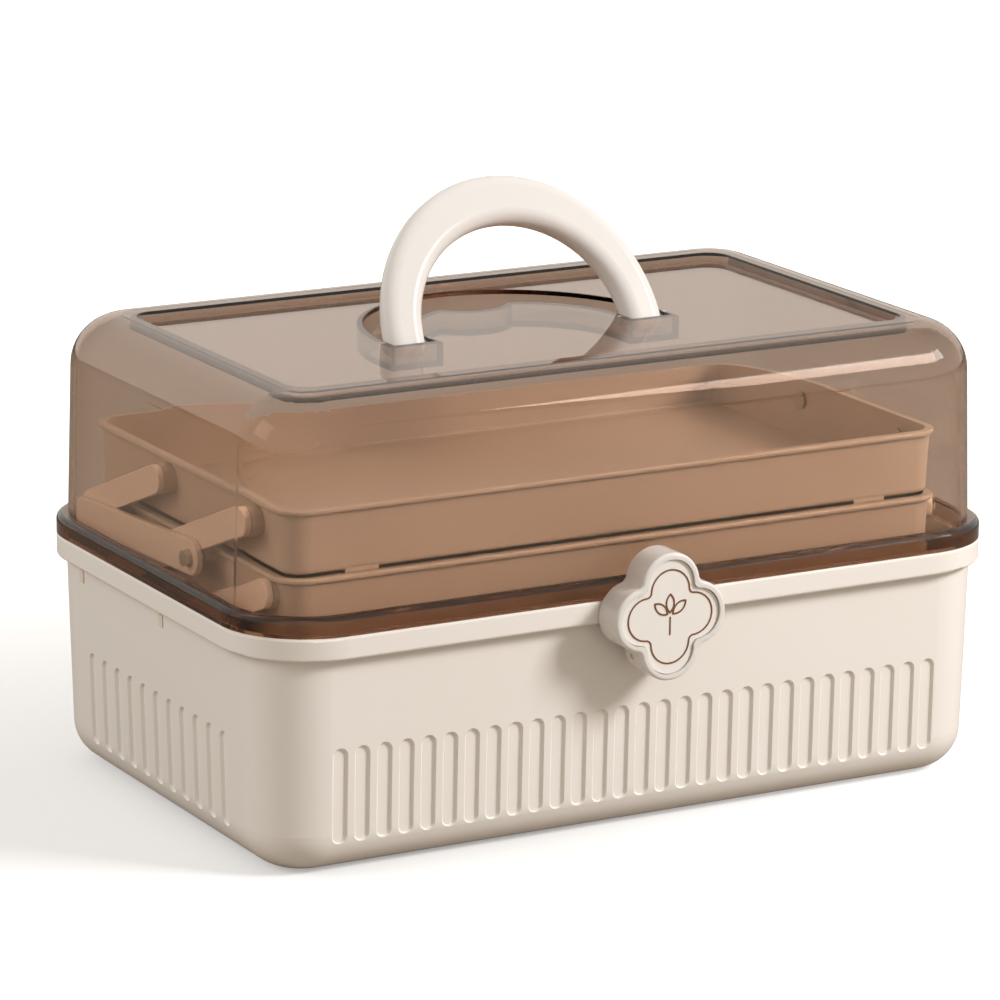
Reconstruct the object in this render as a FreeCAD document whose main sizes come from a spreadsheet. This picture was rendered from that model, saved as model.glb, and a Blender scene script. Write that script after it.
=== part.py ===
import FreeCAD, Part
import math
import os
import re
import Sketcher

# Medicine box with a carrying handle: a cream tub, a clear brown lid hinged at the rear,
# two trays that rise on parallel arms, a four-lobed latch and an arched handle.
# Frame: +Z up, the front is -Y, the origin lies on the floor under the middle of the rim.

doc = FreeCAD.newDocument("MedicineBox")
sheet = doc.addObject("Spreadsheet::Sheet", "Sizes")

# Every size that can be set by itself, in millimetres and degrees
SIZES = [
    # rim band of the tub
    ("rim_length", 330), ("rim_width", 212.2), ("rim_corner", 35),
    ("base_height", 94.9), ("band_height", 9), ("band_wall", 2.6), ("band_top", 2.6),
    ("band_edge", 1.2),
    # tub below the band
    ("tub_inset", 5), ("tub_wall", 2.4), ("tub_draft", 2.6),
    ("tub_corner", 26), ("tub_bottom_round", 17),
    # grooves in the tub
    ("groove_width", 6.4), ("groove_depth", 1.2), ("groove_low", 12.2), ("groove_top_drop", 44.6),
    ("groove_taper", 38), ("front_row_room", 7.9), ("front_count", 29),
    ("side_row_room", 32.2), ("side_count", 11),
    # ribs that the lower tray comes down on
    ("rib_width", 6), ("rib_depth", 16), ("rib_low", 12), ("rib_end_room", 47.5),
    ("tray_rest_gap", 0.25),
    # lid
    ("lid_height", 87.3), ("lid_gap", 0.1), ("lid_inset", 4.6), ("lid_wall", 2.2),
    ("lid_draft", 2.6), ("lid_corner", 30), ("lid_top_round", 20),
    ("flange_height", 7.5), ("flange_round", 2.6),
    ("panel_border_x", 25.7), ("panel_border_y", 28.1), ("panel_depth", 3.2),
    ("panel_corner", 9), ("panel_slope", 32),
    # handle well in the lid
    ("well_depth", 9.2), ("well_side_gap", 1), ("well_apex_gap", 4.6), ("well_front", 8.6),
    ("well_rear_room", 7.8), ("scoop_radius", 18), ("scoop_back", 14.1),
    # handle
    ("handle_half_width", 61), ("handle_breadth", 16), ("handle_apex_breadth", 20.2),
    ("handle_thickness", 12), ("handle_round", 5.4),
    ("handle_lean", 30), ("handle_pivot_y", 4.1), ("handle_floor_gap", 0.5),
    ("handle_pin_radius", 1.6), ("handle_pin_grip", 2),
    # lid hinge
    ("hinge_stand", 4.9), ("hinge_drop", 1.5), ("knuckle_radius", 4), ("knuckle_length", 14),
    ("ear_length", 8), ("knuckle_gap", 0.4), ("hinge_end_room", 80), ("hinge_pin_radius", 1.5),
    ("hinge_arm", 3.5),
    # latch
    ("latch_gap", 0.6), ("latch_thickness", 13.3), ("latch_drop", 5.9),
    ("latch_reach_x", 11.4), ("latch_reach_z", 12.4), ("lobe_radius", 12.6),
    ("valley_radius", 3), ("latch_wall", 2.4), ("latch_rim", 2.4), ("recess_valley", 2.4),
    ("latch_recess", 2), ("latch_edge", 1.3), ("plate_thickness", 0.9), ("plate_gap", 0.25),
    ("line_reach", 10), ("line_lobe", 8.6), ("line_valley", 1.8), ("line_width", 0.6),
    ("line_thickness", 0.2), ("latch_pivot_drop", 16), ("latch_pivot_back", 4.5),
    ("latch_pin_radius", 1.2), ("lug_radius", 3.5), ("lug_width", 11), ("lug_slot_gap", 0.8),
    ("latch_pin_sink", 0.4),
    # motif on the latch
    ("leaf_length", 8), ("leaf_width", 4), ("leaf_angle", 50), ("leaf_start", 1.2),
    ("stem_length", 7),
    # trays
    ("tray_side_room", 21.5), ("tray_front_room", 23.1), ("tray_rear_room", 19.6),
    ("lower_tray_height", 26.6), ("upper_tray_height", 25.5),
    ("tray_sink", 9.4), ("tray_pitch", 27.5), ("stack_gap", 0.2),
    ("tray_draft", 1.2), ("tray_corner", 10), ("tray_wall", 1.9),
    ("tray_bottom_round", 2.3), ("bead_width", 1.5), ("bead_height", 2.2),
    ("foot_length", 14), ("foot_width", 3), ("foot_end_room", 31.5),
    # arms: places of the pivots in the side view
    ("arm_slope", 21.34), ("lower_arm_length", 67.3), ("upper_arm_length", 64),
    ("pivot_end_room", 96.5), ("base_pivot_back", 76.1), ("base_pivot_drop", 14.6),
    ("upper_pivot_back", 25.5), ("upper_pivot_rise", 17),
    ("arm_width", 11.5), ("arm_thickness", 2.6), ("arm_edge", 0.5), ("arm_skin", 0.6),
    ("boss_radius", 6), ("pivot_pin_radius", 2), ("pin_head_radius", 3.6),
    ("pin_head_height", 1), ("run_gap", 0.05), ("slide_gap", 0.4),
    # rails
    ("rail_front_back", 60), ("rail_front_rise", 22.9), ("rail_front_radius", 7),
    ("rail_rear_room", 10), ("rail_rear_rise", 18.1), ("rail_rear_radius", 6),
    ("rail_thickness", 2.4), ("rail_boss_radius", 3.8), ("screw_boss_radius", 2.4),
    ("rail_peg_room", 42.5), ("rail_peg_rise", 19.3),
    ("screw_radius", 1.5), ("screw_head_flats", 5.5), ("screw_head_height", 2.2),
    ("screw_collar_radius", 3.4), ("screw_collar_height", 0.7), ("screw_tip_gap", 0.5),
    # plates inside the tub's end walls
    ("plate_below", 8.3), ("plate_above", 6.7), ("plate_front_end", 11.1),
    ("plate_rear_end", 7.9),
    ("plate_skin", 2.4), ("plate_wall_gap", 0.3), ("tab_width", 3.4), ("tab_height", 4.8),
    ("tab_stand", 0.5), ("tab_gap", 0.1),
]

for row, (alias, number) in enumerate(SIZES, start=1):
    sheet.set("A%d" % row, alias)
    sheet.set("B%d" % row, str(number))
    sheet.setAlias("B%d" % row, alias)
doc.recompute()
ALIASES = {alias for alias, _ in SIZES}

# Sizes that follow from others: rooms and gaps are kept, and the rest goes with the rim
TIED = {
    "groove_high": "base_height - groove_top_drop",
    "front_pitch": "(rim_length - 2 * tub_inset - 2 * tub_corner - front_row_room)"
                   " / (front_count - 1)",
    "side_pitch": "(rim_width - 2 * tub_inset - 2 * tub_corner - side_row_room)"
                  " / (side_count - 1)",
    "handle_reach": "rim_width / 2 - lid_inset - panel_border_y - well_rear_room"
                    " - well_apex_gap + handle_pivot_y",
    "scoop_reach": "handle_reach - scoop_back",
    "hinge_y": "rim_width / 2 + hinge_stand",
    "hinge_spread": "rim_length / 2 - hinge_end_room",
    "latch_centre": "base_height - latch_drop",
    "latch_pivot_z": "latch_centre - latch_pivot_drop",
    "tray_half_length": "rim_length / 2 - tray_side_room",
    "tray_front": "rim_width / 2 - tray_front_room",
    "tray_rear": "rim_width / 2 - tray_rear_room",
    "lower_tray_bottom": "base_height - tray_sink",
    "rib_spread": "tray_half_length - rib_end_room",
    "foot_spread": "tray_half_length - foot_end_room",
    "pivot_spacing": "tray_front + tray_rear - pivot_end_room",
    "base_pivot_y": "tray_front - base_pivot_back",
    "base_pivot_z": "base_height - base_pivot_drop",
    "upper_pivot_y": "tray_front - upper_pivot_back",
    "upper_pivot_z": "lower_tray_bottom + tray_pitch + upper_pivot_rise",
    "rail_front_y": "tray_front - rail_front_back",
    "rail_front_z": "lower_tray_bottom + rail_front_rise",
    "rail_rear_y": "tray_rear - rail_rear_room",
    "rail_rear_z": "lower_tray_bottom + rail_rear_rise",
    "rail_peg_y": "tray_rear - rail_peg_room",
    "rail_peg_z": "lower_tray_bottom + rail_peg_rise",
    "plate_low": "base_pivot_z - plate_below",
    "plate_high": "base_pivot_z + plate_above",
    "plate_front": "base_pivot_y + plate_front_end",
    "plate_rear": "pivot_spacing - base_pivot_y + plate_rear_end",
}

# Places worked out from the sizes, as formulas
TUB_HALF = "(rim_length / 2 - tub_inset)"
TUB_DEPTH = "(rim_width / 2 - tub_inset)"
WALL_LEAN = "atan(tub_draft / base_height)"
LID_HALF = "(rim_length / 2 - lid_inset)"
LID_DEPTH = "(rim_width / 2 - lid_inset)"
LID_BOTTOM = "(base_height + lid_gap)"
LID_TOP = "(base_height + lid_gap + lid_height)"
PANEL_TOP = "(%s - panel_depth)" % LID_TOP
PANEL_UNDER = "(%s - lid_wall)" % PANEL_TOP
WELL_FLOOR = "(%s - well_depth)" % PANEL_TOP
WELL_UNDER = "(%s - lid_wall)" % WELL_FLOOR
HANDLE_Z = "(%s + handle_floor_gap + handle_thickness / 2)" % WELL_FLOOR
HANDLE_INNER = "(handle_half_width - handle_breadth)"
WELL_HALF = "(handle_half_width + well_side_gap)"
WELL_INNER = "(%s - well_side_gap)" % HANDLE_INNER
WELL_REACH = "(handle_reach + well_apex_gap)"
HINGE_Z = "(%s + hinge_drop)" % LID_BOTTOM
LATCH_BACK = "(rim_width / 2 + latch_gap)"
LATCH_FACE = "(%s + latch_thickness)" % LATCH_BACK
LATCH_PIVOT_Y = "(%s + latch_pivot_back)" % LATCH_BACK
RISE = "sin(arm_slope * 1deg)"
RUN = "cos(arm_slope * 1deg)"
LOWER_RIM = "(lower_tray_bottom + lower_tray_height)"
UPPER_BOTTOM = "(lower_tray_bottom + tray_pitch)"

# Layers of the linkage, as distances from the middle plane
LOWER_IN = "(tray_half_length + bead_width + slide_gap)"
LOWER_OUT = "(%s + arm_thickness)" % LOWER_IN
UPPER_IN = "(%s + slide_gap)" % LOWER_OUT
UPPER_OUT = "(%s + arm_thickness)" % UPPER_IN
RAIL_IN = "(%s + slide_gap)" % UPPER_OUT
RAIL_OUT = "(%s + rail_thickness)" % RAIL_IN

# Side-view places (y, z) of the front pivot of each pair
BASE_PIVOT = ("(0 - base_pivot_y)", "base_pivot_z")
LOWER_TRAY_PIVOT = ("(0 - base_pivot_y - lower_arm_length * %s)" % RUN,
                    "(base_pivot_z + lower_arm_length * %s)" % RISE)
UPPER_TRAY_PIVOT = ("(0 - upper_pivot_y)", "upper_pivot_z")
RAIL_PIVOT = ("(upper_arm_length * %s - upper_pivot_y)" % RUN,
              "(upper_pivot_z - upper_arm_length * %s)" % RISE)

X_AXIS, Y_AXIS = (1, 0, 0), (0, 1, 0)


def in_sheet(formula):
    """The formula with every word written as a cell of the sheet."""
    def cell(word):
        name = word.group()
        if name in TIED:
            return "(%s)" % in_sheet(TIED[name])
        return ("Sizes." if name in ALIASES else "") + name
    return re.sub(r"[a-z][a-z_]*", cell, formula)


def value(formula):
    """The number that a formula gives now."""
    return FreeCAD.Units.Quantity(sheet.evalExpression(in_sheet(formula))).Value


def tie(thing, prop, formula):
    """Bind a property of an object to the sheet."""
    thing.setExpression(prop, in_sheet(formula))


def place(thing, x="0", y="0", z="0", axis=None, turn="90"):
    """Bind an object's position, and its turn about one axis."""
    if axis:
        thing.Placement.Rotation = FreeCAD.Rotation(FreeCAD.Vector(*axis), value(turn))
        tie(thing, ".Placement.Rotation.Angle", turn)
    for letter, formula in zip("xyz", (x, y, z)):
        tie(thing, ".Placement.Base." + letter, formula)


def rear_pivot(pivot):
    """The rear pivot of a pair, from the front one."""
    return ("(%s + pivot_spacing)" % pivot[0], pivot[1])


def new_body(label):
    body = doc.addObject("PartDesign::Body", label)
    body.Label = label
    return body


def new_sketch(body, role, offset="0", up="0", turn=None, axis=(0, 0, 1)):
    """A sketch on one of the body's own planes, moved along and up the plane, and turned."""
    sketch = body.newObject("Sketcher::SketchObject", body.Name + "_sketch")
    own_plane = next(f for f in body.Origin.OriginFeatures if f.Role == role)
    sketch.AttachmentSupport = (own_plane, [""])
    sketch.MapMode = "FlatFace"
    if turn:
        rotation = FreeCAD.Rotation(FreeCAD.Vector(*axis), value(turn))
        sketch.AttachmentOffset = FreeCAD.Placement(FreeCAD.Vector(), rotation)
        tie(sketch, ".AttachmentOffset.Rotation.Angle", turn)
    tie(sketch, ".AttachmentOffset.Base.z", offset)
    tie(sketch, ".AttachmentOffset.Base.y", up)
    return sketch


def datum(sketch, name, kind, formula, *where):
    """A named dimension of a sketch, bound to the sheet."""
    index = sketch.addConstraint(Sketcher.Constraint(kind, *where, value(formula)))
    sketch.renameConstraint(index, name)
    tie(sketch, "Constraints." + name, formula)


def join_tangent(sketch, order):
    """Close a chain of lines and arcs, each end tangent to the next start."""
    for first, second in zip(order, order[1:] + order[:1]):
        sketch.addConstraint(Sketcher.Constraint("Tangent", first, 2, second, 1))


def arc(sketch, centre, radius, start, end):
    """An arc between two angles in degrees, counter-clockwise."""
    ring = Part.Circle(FreeCAD.Vector(*centre, 0), FreeCAD.Vector(0, 0, 1), radius)
    return sketch.addGeometry(Part.ArcOfCircle(ring, math.radians(start), math.radians(end)))


def segment(sketch, first, last):
    return sketch.addGeometry(Part.LineSegment(FreeCAD.Vector(*first, 0),
                                               FreeCAD.Vector(*last, 0)))


def rounded_rectangle(sketch, half_length, front, rear, radius, tag=""):
    """A rectangle with round corners: its half length, its two depths and its corner."""
    a, f, b, r = (value(v) for v in (half_length, front, rear, radius))
    low = segment(sketch, (-a + r, -f), (a - r, -f))
    corner = arc(sketch, (a - r, -f + r), r, 270, 360)
    right = segment(sketch, (a, -f + r), (a, b - r))
    second = arc(sketch, (a - r, b - r), r, 0, 90)
    high = segment(sketch, (a - r, b), (-a + r, b))
    third = arc(sketch, (-a + r, b - r), r, 90, 180)
    left = segment(sketch, (-a, b - r), (-a, -f + r))
    fourth = arc(sketch, (-a + r, -f + r), r, 180, 270)
    join_tangent(sketch, [low, corner, right, second, high, third, left, fourth])
    for line in (low, high):
        sketch.addConstraint(Sketcher.Constraint("Horizontal", line))
    for line in (left, right):
        sketch.addConstraint(Sketcher.Constraint("Vertical", line))
    for other in (second, third, fourth):
        sketch.addConstraint(Sketcher.Constraint("Equal", corner, other))
    datum(sketch, "radius" + tag, "Radius", radius, corner)
    datum(sketch, "right" + tag, "DistanceX", half_length, -1, 1, right, 1)
    datum(sketch, "left" + tag, "DistanceX", half_length, left, 1, -1, 1)
    datum(sketch, "front" + tag, "DistanceY", front, low, 1, -1, 1)
    datum(sketch, "rear" + tag, "DistanceY", rear, -1, 1, high, 1)


def capsule(sketch, near, far, near_radius, far_radius):
    """The outline round two circles, each given by its (x, y) formulas and its radius."""
    (x1, y1), (x2, y2) = ([value(v) for v in point] for point in (near, far))
    r1, r2 = value(near_radius), value(far_radius)
    heading = math.degrees(math.atan2(y2 - y1, x2 - x1))
    side = (-math.sin(math.radians(heading)), math.cos(math.radians(heading)))
    near_arc = arc(sketch, (x1, y1), r1, heading + 90, heading + 270)
    low = segment(sketch, (x1 - side[0] * r1, y1 - side[1] * r1),
                  (x2 - side[0] * r2, y2 - side[1] * r2))
    far_arc = arc(sketch, (x2, y2), r2, heading - 90, heading + 90)
    high = segment(sketch, (x2 + side[0] * r2, y2 + side[1] * r2),
                   (x1 + side[0] * r1, y1 + side[1] * r1))
    join_tangent(sketch, [near_arc, low, far_arc, high])
    for end, part, (x, y), radius in (("near", near_arc, near, near_radius),
                                      ("far", far_arc, far, far_radius)):
        datum(sketch, end + "_radius", "Radius", radius, part)
        datum(sketch, end + "_x", "DistanceX", x, -1, 1, part, 3)
        datum(sketch, end + "_y", "DistanceY", y, -1, 1, part, 3)


def quatrefoil(sketch, outline, tag):
    """Four round lobes joined by hollow valleys.

    The outline is the lobes' distances from the centre in X and Z, then the two radii.
    """
    reach_x, reach_z, lobe, valley = outline
    cx, cz, r, v = (value(formula) for formula in outline)
    span = math.hypot(cx, cz)
    out = math.sqrt((r + v) ** 2 - span ** 2 / 4)
    qx, qz = cx / 2 + out * cz / span, cz / 2 + out * cx / span
    side_angle = math.degrees(math.atan2(qz, qx - cx))
    top_angle = math.degrees(math.atan2(qz - cz, qx))
    lobes = [arc(sketch, (cx, 0), r, -side_angle, side_angle),
             arc(sketch, (0, cz), r, top_angle, 180 - top_angle),
             arc(sketch, (-cx, 0), r, 180 - side_angle, 180 + side_angle),
             arc(sketch, (0, -cz), r, 180 + top_angle, 360 - top_angle)]
    valleys = [arc(sketch, (qx, qz), v, top_angle + 180, side_angle + 180),
               arc(sketch, (-qx, qz), v, -side_angle, -top_angle),
               arc(sketch, (-qx, -qz), v, top_angle, side_angle),
               arc(sketch, (qx, -qz), v, 180 - side_angle, 180 - top_angle)]
    for number in range(4):
        following = lobes[(number + 1) % 4]
        sketch.addConstraint(Sketcher.Constraint("Tangent", lobes[number], 2,
                                                 valleys[number], 2))
        sketch.addConstraint(Sketcher.Constraint("Tangent", valleys[number], 1, following, 1))
    for other in lobes[1:]:
        sketch.addConstraint(Sketcher.Constraint("Equal", lobes[0], other))
    for other in valleys[1:]:
        sketch.addConstraint(Sketcher.Constraint("Equal", valleys[0], other))
    for number, axis in enumerate((-1, -2, -1, -2)):
        sketch.addConstraint(Sketcher.Constraint("PointOnObject", lobes[number], 3, axis))
    datum(sketch, "lobe" + tag, "Radius", lobe, lobes[0])
    datum(sketch, "valley" + tag, "Radius", valley, valleys[0])
    datum(sketch, "right" + tag, "DistanceX", reach_x, -1, 1, lobes[0], 3)
    datum(sketch, "top" + tag, "DistanceY", reach_z, -1, 1, lobes[1], 3)
    datum(sketch, "left" + tag, "DistanceX", reach_x, lobes[2], 3, -1, 1)
    datum(sketch, "low" + tag, "DistanceY", reach_z, lobes[3], 3, -1, 1)


def half_ellipse(sketch, half_width, reach, tag):
    """The rear half of an ellipse about the origin, from its right end to its left."""
    a, b = value(half_width), value(reach)
    origin = FreeCAD.Vector(0, 0, 0)
    if a >= b:
        ellipse = Part.Ellipse(FreeCAD.Vector(a, 0, 0), FreeCAD.Vector(0, b, 0), origin)
        curve = sketch.addGeometry(Part.ArcOfEllipse(ellipse, 0, math.pi))
    else:
        ellipse = Part.Ellipse(FreeCAD.Vector(0, b, 0), FreeCAD.Vector(-a, 0, 0), origin)
        curve = sketch.addGeometry(Part.ArcOfEllipse(ellipse, -math.pi / 2, math.pi / 2))
    sketch.exposeInternalGeometry(curve)
    axes = [n for n, g in enumerate(sketch.Geometry) if n > curve
            and g.TypeId == "Part::GeomLineSegment"]
    upright = next(n for n in axes if abs(sketch.Geometry[n].StartPoint.x) < 1e-6
                   and abs(sketch.Geometry[n].EndPoint.x) < 1e-6)
    level = next(n for n in axes if n != upright)
    sketch.addConstraint(Sketcher.Constraint("Coincident", curve, 3, -1, 1))
    sketch.addConstraint(Sketcher.Constraint("Vertical", upright))
    datum(sketch, "half_width" + tag, "Distance", "2 * (%s)" % half_width, level)
    datum(sketch, "reach" + tag, "Distance", "2 * (%s)" % reach, upright)
    sketch.addConstraint(Sketcher.Constraint("PointOnObject", curve, 1, -1))
    sketch.addConstraint(Sketcher.Constraint("PointOnObject", curve, 2, -1))
    return curve


def arch(sketch, half_width, reach, leg, inner=None):
    """A half ellipse about the origin with straight legs to the front, closed there.

    With an inner (half width, reach) the outline is that of a bow, else of a filled D.
    """
    a, d = value(half_width), value(leg)
    c = value(inner[0]) if inner else -a
    outside = half_ellipse(sketch, half_width, reach, "_outside")
    right = segment(sketch, (a, 0), (a, -d))
    left = segment(sketch, (-a, 0), (-a, -d))
    right_foot = segment(sketch, (a, -d), (c, -d))
    rules = [("Coincident", outside, 1, right, 1), ("Coincident", outside, 2, left, 1),
             ("Coincident", right, 2, right_foot, 1), ("Vertical", right), ("Vertical", left),
             ("Horizontal", right_foot)]
    if inner:
        inside = half_ellipse(sketch, *inner, "_inside")
        left_foot = segment(sketch, (-a, -d), (-c, -d))
        rules += [("Coincident", left, 2, left_foot, 1), ("Horizontal", left_foot)]
        for foot, x, end in ((right_foot, c, 1), (left_foot, -c, 2)):
            back = segment(sketch, (x, -d), (x, 0))
            rules += [("Coincident", foot, 2, back, 1), ("Coincident", back, 2, inside, end),
                      ("Vertical", back)]
        datum(sketch, "leg_left", "DistanceY", leg, left_foot, 1, -1, 1)
    else:
        rules.append(("Coincident", left, 2, right_foot, 2))
    for rule in rules:
        sketch.addConstraint(Sketcher.Constraint(*rule))
    datum(sketch, "leg_right", "DistanceY", leg, right_foot, 1, -1, 1)


def extrude(body, sketch, length, cut=False, reverse=False, both=False, taper=None):
    """A pad, or a pocket, of a sketch."""
    kind = "Pocket" if cut else "Pad"
    feature = body.newObject("PartDesign::" + kind, body.Name + "_" + kind.lower())
    feature.Profile = sketch
    feature.Reversed = reverse
    feature.Midplane = both
    tie(feature, "Length", length)
    if taper:
        tie(feature, "TaperAngle", taper)
    doc.recompute()
    return feature


def drafted_shell(body, wide, height, upward, half_length, front, rear, corner, draft,
                  outer_round, wall):
    """A box open at its wide end, with round corners, drafted walls and one thickness."""
    sketch = new_sketch(body, "XY_Plane", wide)
    rounded_rectangle(sketch, half_length, front, rear, corner)
    block = extrude(body, sketch, height, reverse=not upward)
    leaning = body.newObject("PartDesign::Draft", body.Name + "_draft")
    leaning.Base = (block, [name for name, face in faces_of(block)
                            if face.BoundBox.ZLength > 1e-3])
    leaning.NeutralPlane = (block, [level_face(block, wide)])
    leaning.Reversed = not upward
    tie(leaning, "Angle", "atan(%s / %s)" % (draft, height))
    doc.recompute()
    narrow = "%s %s %s" % (wide, "+" if upward else "-", height)
    rounded = fillet(body, outer_round, level_at("Z", narrow))
    hollow = body.newObject("PartDesign::Thickness", body.Name + "_thickness")
    hollow.Base = (rounded, [level_face(rounded, wide)])
    hollow.Reversed = True
    tie(hollow, "Value", wall)
    doc.recompute()


def ring(body, bottom, height, outer, inner, cut=False):
    """A band between two rounded rectangles, each given as half length, front, rear, corner."""
    sketch = new_sketch(body, "XY_Plane", bottom)
    rounded_rectangle(sketch, *outer, "_outer")
    rounded_rectangle(sketch, *inner, "_inner")
    extrude(body, sketch, height, cut=cut, reverse=cut)


def on_outline(heights, half_length, front, rear, corner):
    """A test for level edges that lie on one rounded rectangle, at one of the heights."""
    levels = [value(height) for height in heights]
    a, f, b, r = (value(v) for v in (half_length, front, rear, corner))

    def test(edge):
        middle = edge.valueAt((edge.FirstParameter + edge.LastParameter) / 2)
        x = abs(middle.x) - a + r
        y = abs(middle.y - (b - f) / 2) - (b + f) / 2 + r
        away = math.hypot(max(x, 0), max(y, 0)) + min(max(x, y), 0) - r
        return (abs(away) < 1e-3 and edge.BoundBox.ZLength < 1e-3
                and any(abs(middle.z - level) < 1e-3 for level in levels))
    return test


def faces_of(feature):
    return [("Face%d" % number, face)
            for number, face in enumerate(feature.Shape.Faces, start=1)]


def level_face(feature, formula):
    """The name of the level face at one height."""
    return next(name for name, face in faces_of(feature) if level_at("Z", formula)(face))


def solid(body, kind, x, y, z, axis=None, turn="90", **dimensions):
    """A box or a cylinder, such as AdditiveBox, as a feature of a body."""
    feature = body.newObject("PartDesign::" + kind, body.Name + "_" + kind.lower())
    for prop, formula in dimensions.items():
        tie(feature, prop, formula)
    place(feature, x, y, z, axis, turn)
    return feature


def prism(body, x, corners, width, cut=False):
    """A pad or pocket across X of a polygon, whose corners are (y, z) formulas."""
    sketch = new_sketch(body, "YZ_Plane", x)
    lines = [segment(sketch, [value(v) for v in first], [value(v) for v in second])
             for first, second in zip(corners, corners[1:] + corners[:1])]
    for number, line in enumerate(lines):
        following = lines[(number + 1) % len(lines)]
        sketch.addConstraint(Sketcher.Constraint("Coincident", line, 2, following, 1))
        datum(sketch, "y%d" % number, "DistanceX", corners[number][0], -1, 1, line, 1)
        datum(sketch, "z%d" % number, "DistanceY", corners[number][1], -1, 1, line, 1)
    extrude(body, sketch, width, cut=cut, both=True)


def box_between(body, kind, low, high):
    """A box feature between two corners, each three formulas."""
    length, width, height = ("%s - (%s)" % pair for pair in zip(high, low))
    return solid(body, kind, *low, Length=length, Width=width, Height=height)


def fillet(body, radius, test):
    """Round the edges of the body's last feature that pass the test."""
    base = body.Tip
    names = ["Edge%d" % number for number, edge in enumerate(base.Shape.Edges, start=1)
             if test(edge)]
    feature = body.newObject("PartDesign::Fillet", body.Name + "_fillet")
    feature.Base = (base, names)
    tie(feature, "Radius", radius)
    doc.recompute()
    return feature


def level_at(axis, formula):
    """A test for edges that lie wholly at one value of X, Y or Z."""
    where = value(formula)
    return lambda edge: (abs(getattr(edge.BoundBox, axis + "Max") - where) < 1e-3
                         and abs(getattr(edge.BoundBox, axis + "Min") - where) < 1e-3)


def both_sides(label, make):
    """Make a left and a right piece: make(label, sign) with -1 on the left."""
    for name, sign in (("left", "-1"), ("right", "1")):
        make("%s_%s" % (label, name), sign)


def across(sign, near, far):
    """Lower X and length of a stretch between two distances from the middle plane."""
    start = near if sign == "1" else "0 - (%s)" % far
    return start, "(%s) - (%s)" % (far, near)


def cross_cylinder(body, kind, sign, near, far, y, z, radius):
    """A cylinder along X between two distances from the middle plane."""
    start, length = across(sign, near, far)
    return solid(body, kind, start, y, z, Y_AXIS, "90", Radius=radius, Height=length)


# Tub

def groove_row(body, role, distance, pitch, count, opposite):
    """A row of round-ended grooves in one wall, cut from a plane that leans with the wall."""
    sign = "-1 * " if opposite else ""
    sketch = new_sketch(body, role, sign + distance, turn=sign + WALL_LEAN, axis=X_AXIS)
    length = "(%s * (%s - 1))" % (pitch, count)
    x = "0 - %s / 2" % length
    capsule(sketch, (x, "groove_low + groove_width / 2"), (x, "groove_high - groove_width / 2"),
            "groove_width / 2", "groove_width / 2")
    groove = extrude(body, sketch, "groove_depth", cut=True, reverse=opposite,
                     taper="0 - groove_taper")
    row = body.newObject("PartDesign::LinearPattern", body.Name + "_row")
    row.Originals = [groove]
    row.Direction = (sketch, ["H_Axis"])
    tie(row, "Length", length)
    tie(row, "Occurrences", count)
    row.Refine = False
    body.Tip = row
    doc.recompute()


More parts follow.
